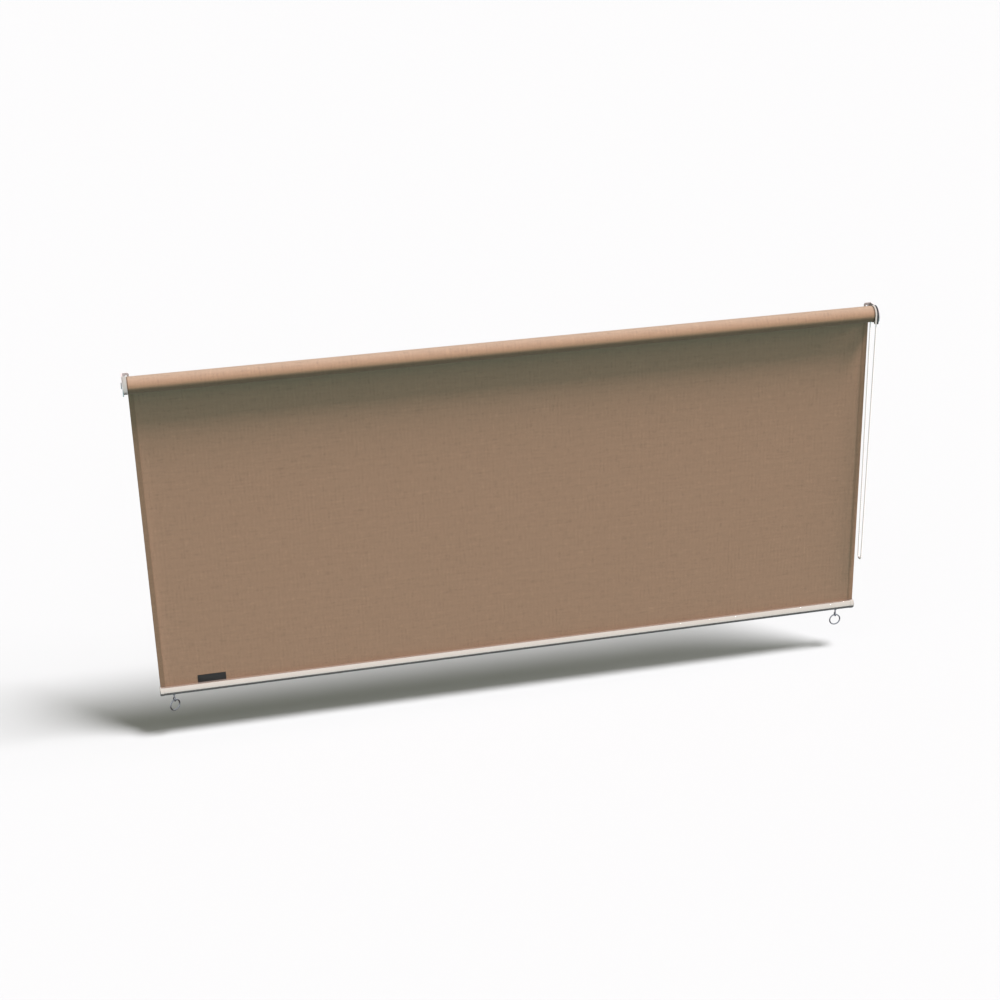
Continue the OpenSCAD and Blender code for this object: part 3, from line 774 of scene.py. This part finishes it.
class BLIND_OT_cloth(bpy.types.Operator):
    """Hang the hemmed sheet, with the lap that leaves the roll and the pocket round the hem rod"""

    bl_idname = "blind.cloth"
    bl_label = "Hang the cloth"

    FOLD_STEPS, PANEL_STEPS, DROP_STEPS = 8, 48, 40
    LAP_BEND, LAP_STEPS, LAP_STATIONS = math.radians(62), 24, 24
    # How far the lap's end stands off the roll, and how much thinner it is there
    LAP_GAP, LAP_THINNING = 0.12 * MM, 0.85
    # The pocket leaves a slit on top, where the neck comes in
    POCKET_START, POCKET_END, POCKET_STEPS, POCKET_STATIONS = math.radians(92), math.radians(448), 40, 8

    def execute(self, context):
        cloth = context.scene.blind_cloth
        material = cloth_material("screen_cloth", cloth.hem_width, cloth.hem_tone)
        sheet = self.sheet(cloth, material)
        pieces = [self.lap(cloth, material), self.pocket(cloth, material), self.seams(cloth)]
        drop = AXIS.z - self.foot(cloth)
        for piece in (sheet, pieces[-1]):
            1 - LIFT / drop
            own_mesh(piece)
        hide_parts("fabric_sheet")
        return {"FINISHED"}

    @staticmethod
    def foot(cloth):
        """The height where the hems end, just over the bar's caps."""
        return CAP.high.z + cloth.hem_end

    @staticmethod
    def fold(cloth):
        """The radius of a hem's fold, at the middle of the cloth: the two layers all but touch."""
        return cloth.thickness * 0.55

    def sheet(self, cloth, material):
        """The panel with its edges folded to the front, as one folded strip that ends just over the bar."""
        fold_r = self.fold(cloth)
        panel_y = SHEET.middle.y
        hem_y = panel_y - 2 * fold_r
        edge = SHEET.high.x - fold_r - cloth.thickness / 2
        inner = SHEET.high.x - cloth.hem_width
        right_fold = arc((edge, panel_y - fold_r), fold_r, math.pi / 2, -math.pi / 2, self.FOLD_STEPS)
        left_fold = [(-x, y) for x, y in reversed(right_fold)]
        panel = [(x, panel_y) for x in evenly(-edge, edge, self.PANEL_STEPS)][1:-1]
        path = [(-inner, hem_y), *left_fold, *panel, *right_fold, (inner, hem_y)]
        heights = evenly(self.foot(cloth), AXIS.z, self.DROP_STEPS)
        vertices, faces, lengths = strip(path, cloth.thickness, heights, lambda p, z: (p[0], p[1], z))
        return new_piece("cloth_sheet", vertices, faces, "wall_frame", material, lengths)

    def lap(self, cloth, material):
        """The cloth's way off the roll: a lap that thins out over the roll's back."""
        start_r = SHEET.middle.y - AXIS.y
        end_r = ROLL.size.y / 2 + self.LAP_GAP
        path, sizes = [], []
        for share in evenly(0, 1, self.LAP_STEPS):
            radius = start_r + (end_r - start_r) * math.sin(share * math.pi / 2)
            angle = self.LAP_BEND * share
            path.append((AXIS.y + radius * math.cos(angle), AXIS.z + radius * math.sin(angle)))
            sizes.append(cloth.thickness * (1 - self.LAP_THINNING * share))
        stations = evenly(SHEET.low.x, SHEET.high.x, self.LAP_STATIONS)
        vertices, faces, lengths = strip(path, sizes, stations, lambda p, x: (x, *p))
        uvs = [(x, run) for run, x in lengths]
        return new_piece("cloth_lap", vertices, faces, "wall_frame", material, uvs)

    def pocket(self, cloth, material):
        """The sewn pocket round the hem rod, inside the bar, and its neck in the bar's slot."""
        radius = SHEET.size.y / 2 - cloth.thickness / 2
        loop = arc(ROD.middle.yz, radius, self.POCKET_START, self.POCKET_END, self.POCKET_STEPS)
        half = SHEET.high.x - cloth.thickness
        neck = [(SHEET.middle.y, self.foot(cloth)), (SHEET.middle.y, ROD.high.z)]
        made, uvs = Mesh(), []
        for path, ends in ((loop, (ROD.low.x, ROD.high.x)), (neck, (-half, half))):
            stations = evenly(*ends, self.POCKET_STATIONS)
            vertices, faces, lengths = strip(path, cloth.thickness, stations, lambda p, x: (x, *p))
            made.add((vertices, faces))
            uvs += [(x, run) for run, x in lengths]
        return new_piece("hem_pocket", made.vertices, made.faces, "bar", material, uvs)

    def seams(self, cloth):
        """The seam of each side hem."""
        face_y = SHEET.middle.y - 2 * self.fold(cloth) - cloth.thickness / 2
        at = SHEET.high.x - cloth.hem_width + cloth.seam_inset
        low, high = self.foot(cloth) + cloth.stitch_pitch / 2, AXIS.z - ROLL.size.y / 4
        made = Mesh()
        for side in (-1, 1):
            start, end = (Vector((side * at, face_y, z)) for z in (low, high))
            made.add(stitch_row(start, end, cloth.stitch_pitch, cloth.thread_size))
        return new_piece("hem_stitches", made.vertices, made.faces, "wall_frame", thread_material())


class BLIND_OT_roll(bpy.types.Operator):
    """Wind the cloth on the roller tube"""

    bl_idname = "blind.roll"
    bl_label = "Wind the roll"

    TURNS, STEPS, STATIONS = 2, 96, 32
    TUBE_GAP = 0.06 * MM

    def execute(self, context):
        cloth = context.scene.blind_cloth
        inner = TUBE.size.y / 2 + cloth.thickness / 2 + self.TUBE_GAP
        outer = ROLL.size.y / 2 - cloth.thickness / 2
        path = []
        for share in evenly(0, 1, self.TURNS * self.STEPS):
            radius = inner + (outer - inner) * share
            angle = 2 * math.pi * self.TURNS * (share - 1)
            path.append((AXIS.y + radius * math.cos(angle), AXIS.z + radius * math.sin(angle)))
        stations = evenly(ROLL.low.x, ROLL.high.x, self.STATIONS)
        vertices, faces, lengths = strip(path, cloth.thickness, stations, lambda p, x: (x, *p))
        uvs = [(x, run) for run, x in lengths]
        # The roll's cloth carries painted light and shade by height, and painted shade at its ends
        tones = (cloth.painted_under_shade, cloth.painted_front_tone, cloth.painted_top_light)
        material = cloth_material("roll_cloth_painted_shading", cloth.end_shade_width, cloth.painted_end_shade, tones)
        piece = new_piece("cloth_roll", vertices, faces, "roller", material, uvs)
        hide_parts("fabric_roll")
        return {"FINISHED"}


class BLIND_OT_tag(bpy.types.Operator):
    """Sew the bare tag on the cloth, over the bar"""

    bl_idname = "blind.tag"
    bl_label = "Sew on the tag"

    THICK = 0.7 * MM
    CORNER, CORNER_STEPS = 1.2 * MM, 5
    # Gaps to the bar below and to the cloth behind
    BAR_GAP, CLOTH_GAP = 0.2 * MM, 0.03 * MM
    # From back to front: how far each layer is set in, and its share of the thickness
    LAYERS = (0.0, 0.0), (0.0, 0.7), (0.25 * MM, 1.0)
    # The stitches' distance from each end, their shares of the tag's height, their pitch and the thread's size
    STITCH_INSET, STITCH_SPAN = 2.2 * MM, (0.06, 0.96)
    STITCH_PITCH, STITCH_SIZE = 2.4 * MM, 0.45 * MM

    def execute(self, context):
        cloth = context.scene.blind_cloth
        width, height = cloth.tag_size
        left = SHEET.low.x + cloth.tag_inset
        foot = BAR.high.z + self.BAR_GAP
        back = SHEET.middle.y - cloth.thickness / 2 - self.CLOTH_GAP
        outline = self.rounded(width, height)
        vertices = []
        for inset, share in self.LAYERS:
            scale_x, scale_z = 1 - 2 * inset / width, 1 - 2 * inset / height
            y = back - self.THICK * share
            for x, z in outline:
                vertices.append((left + width / 2 + x * scale_x, y, foot + height / 2 + z * scale_z))
        faces = ring_faces(len(self.LAYERS), len(outline))
        new_piece("bare_tag", vertices, faces, "bar", tag_material(), sharp=50)
        made = Mesh()
        for x in (left + self.STITCH_INSET, left + width - self.STITCH_INSET):
            start, end = (Vector((x, back - self.THICK, foot + share * height)) for share in self.STITCH_SPAN)
            made.add(stitch_row(start, end, self.STITCH_PITCH, self.STITCH_SIZE))
        new_piece("tag_stitches", made.vertices, made.faces, "bar", bpy.data.materials["tag_ribbon"])
        return {"FINISHED"}

    def rounded(self, width, height):
        """The outline of a rectangle with round corners, about its middle."""
        radius, outline = self.CORNER, []
        for quarter, (sx, sz) in enumerate(((1, 1), (-1, 1), (-1, -1), (1, -1))):
            centre = (sx * (width / 2 - radius), sz * (height / 2 - radius))
            outline += arc(centre, radius, quarter * math.pi / 2, (quarter + 1) * math.pi / 2, self.CORNER_STEPS)
        return outline


# Scales of the grain on each axis: drawn lengthwise, cast or pressed alike all round, brushed level, and plated
DRAWN, CAST, BRUSHED, PLATED = (3.0, 700.0, 700.0), (260.0,) * 3, (60.0, 60.0, 900.0), (300.0,) * 3


class BLIND_OT_brackets(bpy.types.Operator):
    """Finish the brackets, the end covers and what holds the roller"""

    bl_idname = "blind.brackets"
    bl_label = "Finish the brackets"

    def execute(self, context):
        hardware = context.scene.blind_hardware
        steel = metal_material("bracket_plate", hardware.steel_color, 0.38, 0.10, BRUSHED, 0.15)
        cover = metal_material("pressed_cover", hardware.cover_color, 0.30, 0.08, CAST, 0.85)
        white = plastic_material("plug_plastic", hardware.white_color, 0.28)
        grey = plastic_material("clutch_plastic", hardware.grey_color, 0.35)
        dark = plastic_material("guard_plastic", hardware.dark_color, 0.3)
        finish_nodes(steel, "idle_bracket", "drive_bracket")
        finish_nodes(steel, "idle_pin", "spindle_screw", "spindle_clip", "wrap_springs")
        finish_nodes(cover, "idle_cover")
        finish_nodes(white, "idle_plug", "drive_plug", "chain_wheel")
        finish_nodes(dark, "chain_guard")
        finish_nodes(grey, "clutch_spindle", "idle_bush", "tube_spline")
        return {"FINISHED"}


class BLIND_OT_bars(bpy.types.Operator):
    """Finish the roller tube, the bottom bar with its end caps, and the guard's lid"""

    bl_idname = "blind.bars"
    bl_label = "Finish the tube and the bar"

    def execute(self, context):
        hardware = context.scene.blind_hardware
        drawn = metal_material("drawn_aluminium", hardware.aluminium_color, 0.10, 0.08, DRAWN, 0.85)
        rod = metal_material("rod_steel", hardware.steel_color, 0.35, 0.10, DRAWN)
        caps = metal_material("cast_aluminium", hardware.aluminium_color, 0.16, 0.08, CAST, 0.85)
        finish_nodes(drawn, "roller_tube", "bottom_bar", "guard_lid")
        finish_nodes(rod, "hem_rod", "eye_nuts")
        finish_nodes(caps, "left_bar_cap", "right_bar_cap")
        return {"FINISHED"}


class BLIND_OT_ties(bpy.types.Operator):
    """Finish the eye bolts and the tie rings"""

    bl_idname = "blind.ties"
    bl_label = "Finish the tie rings"

    def execute(self, context):
        hardware = context.scene.blind_hardware
        chrome = metal_material("chrome_plate", hardware.chrome_color, 0.06, 0.05, PLATED)
        finish_nodes(chrome, "left_eye_bolt", "right_eye_bolt", "left_ring", "right_ring")
        return {"FINISHED"}


class BLIND_OT_stage(bpy.types.Operator):
    """Lay the pale floor and set the two lamps and the soft light all round"""

    bl_idname = "blind.stage"
    bl_label = "Set the stage"

    FLOOR_HALF = 60.0
    FLAG_LOW, FLAG_HIGH, FLAG_RISE = (-8.0, -0.18), (8.0, 12.0), 0.01
    FLAG_COLORS = (0.02, 0.02, 0.03), (0.05, 0.05, 0.06)
    WHITE = (1.0, 1.0, 1.0)

    def execute(self, context):
        stage = context.scene.blind_stage
        self.floor(stage)
        self.flag(stage)
        self.lamp("key", stage.key_direction, stage.key_angle, stage.key_strength, stage.key_color)
        self.lamp("side", stage.side_direction, stage.side_angle, stage.side_strength, stage.key_color)
        self.sky(context.scene, stage)
        context.scene.view_settings.view_transform = "Standard"
        return {"FINISHED"}

    @staticmethod
    def seen(shader):
        """1 where a ray shows the background: straight, mirrored or through something clear."""
        path = shader.node("ShaderNodeLightPath").socket.node
        camera, glossy, clear = (
            Value(shader, path.outputs[name]) for name in ("Is Camera Ray", "Is Glossy Ray", "Is Transmission Ray"))
        return camera.math("MAXIMUM", glossy).math("MAXIMUM", clear)

    @staticmethod
    def level_card(name, low, high, level, material):
        """A flat level piece of the stage between two corners."""
        mesh = bpy.data.meshes.new(name)
        (left, front), (right, back) = low, high
        corners = (left, front), (right, front), (right, back), (left, back)
        mesh.from_pydata([(x, y, level) for x, y in corners], [], [(0, 1, 2, 3)])
        mesh.materials.append(material)
        card = bpy.data.objects.new(name, mesh)
        bpy.context.scene.collection.objects.link(card)
        return card

    def floor(self, stage):
        """A floor that looks white where it is lit, and throws back less light than that."""
        shader = new_material("pale_floor")
        color = shader.mix(self.seen(shader), stage.bounce_color, stage.floor_color)
        material = shader.surface(Base_Color=color, Roughness=0.9, Specular_IOR_Level=0.0)
        half = self.FLOOR_HALF
        self.level_card("floor", (-half, -half), (half, half), stage.floor_level, material)

    def flag(self, stage):
        """A dark card on the floor under the blind and behind it, which only mirroring metal shows."""
        shader = new_material("dark_flag")
        grain = shader.noise(shader.place(), scale=3.0)
        material = shader.surface(Base_Color=shader.mix(grain, *self.FLAG_COLORS), Roughness=0.9)
        card = self.level_card("flag", self.FLAG_LOW, self.FLAG_HIGH, stage.floor_level + self.FLAG_RISE, material)
        card.visible_camera = card.visible_diffuse = card.visible_shadow = card.visible_transmission = False

    @staticmethod
    def lamp(name, direction, angle, strength, color):
        """A far lamp, which metal doesn't mirror."""
        data = bpy.data.lights.new(name, "SUN")
        data.energy = strength
        data.color = color
        data.angle = angle
        lamp = bpy.data.objects.new(name, data)
        lamp.rotation_mode = "QUATERNION"
        lamp.rotation_quaternion = Vector(direction).to_track_quat("Z", "Y")
        lamp.visible_glossy = False
        bpy.context.scene.collection.objects.link(lamp)

    def sky(self, scene, stage):
        """Soft light from the front and the back, seen as plain white."""
        scene.world = bpy.data.worlds.new("soft_light")
        shader = Shader(scene.world)
        _, to_back, _ = shader.parts(shader.node("ShaderNodeTexCoord"))
        soft = shader.mix((to_back + 0.5).clamped(), stage.front_color, stage.back_color)
        color = shader.mix(self.seen(shader), soft, self.WHITE)
        light = shader.node("ShaderNodeBackground", None, {"Color": color, "Strength": 1.0})
        shader.node("ShaderNodeOutputWorld", None, {"Surface": light})


class BLIND_PT_sidebar(bpy.types.Panel):
    """The blind's pieces and settings"""

    bl_idname = "BLIND_PT_sidebar"
    bl_label = "Outdoor roller blind"
    bl_space_type = "VIEW_3D"
    bl_region_type = "UI"
    bl_category = "Blind"

    def draw(self, context):
        for operator in OPERATORS:
            self.layout.operator(operator.bl_idname)
        for name in SETTINGS:
            box = self.layout.box()
            group = getattr(context.scene, name)
            for key in group.__annotations__:
                box.prop(group, key)


SETTINGS = {"blind_cloth": ClothSettings, "blind_hardware": HardwareSettings, "blind_stage": StageSettings}
OPERATORS = (
    BLIND_OT_camera, BLIND_OT_chain, BLIND_OT_cloth, BLIND_OT_roll, BLIND_OT_tag, BLIND_OT_brackets, BLIND_OT_bars,
    BLIND_OT_ties, BLIND_OT_stage,
)
CLASSES = (*SETTINGS.values(), *OPERATORS, BLIND_PT_sidebar)


def register():
    for made in CLASSES:
        bpy.utils.register_class(made)
    for name, group in SETTINGS.items():
        setattr(bpy.types.Scene, name, PointerProperty(type=group))


def unregister():
    for name in SETTINGS:
        delattr(bpy.types.Scene, name)
    for made in reversed(CLASSES):
        bpy.utils.unregister_class(made)


def main():
    register()
    bpy.ops.blind.camera()
    bpy.ops.blind.chain()
    bpy.ops.blind.cloth()
    bpy.ops.blind.roll()
    bpy.ops.blind.tag()
    bpy.ops.blind.brackets()
    bpy.ops.blind.bars()
    bpy.ops.blind.ties()
    bpy.ops.blind.stage()


if __name__ == "__main__":
    main()
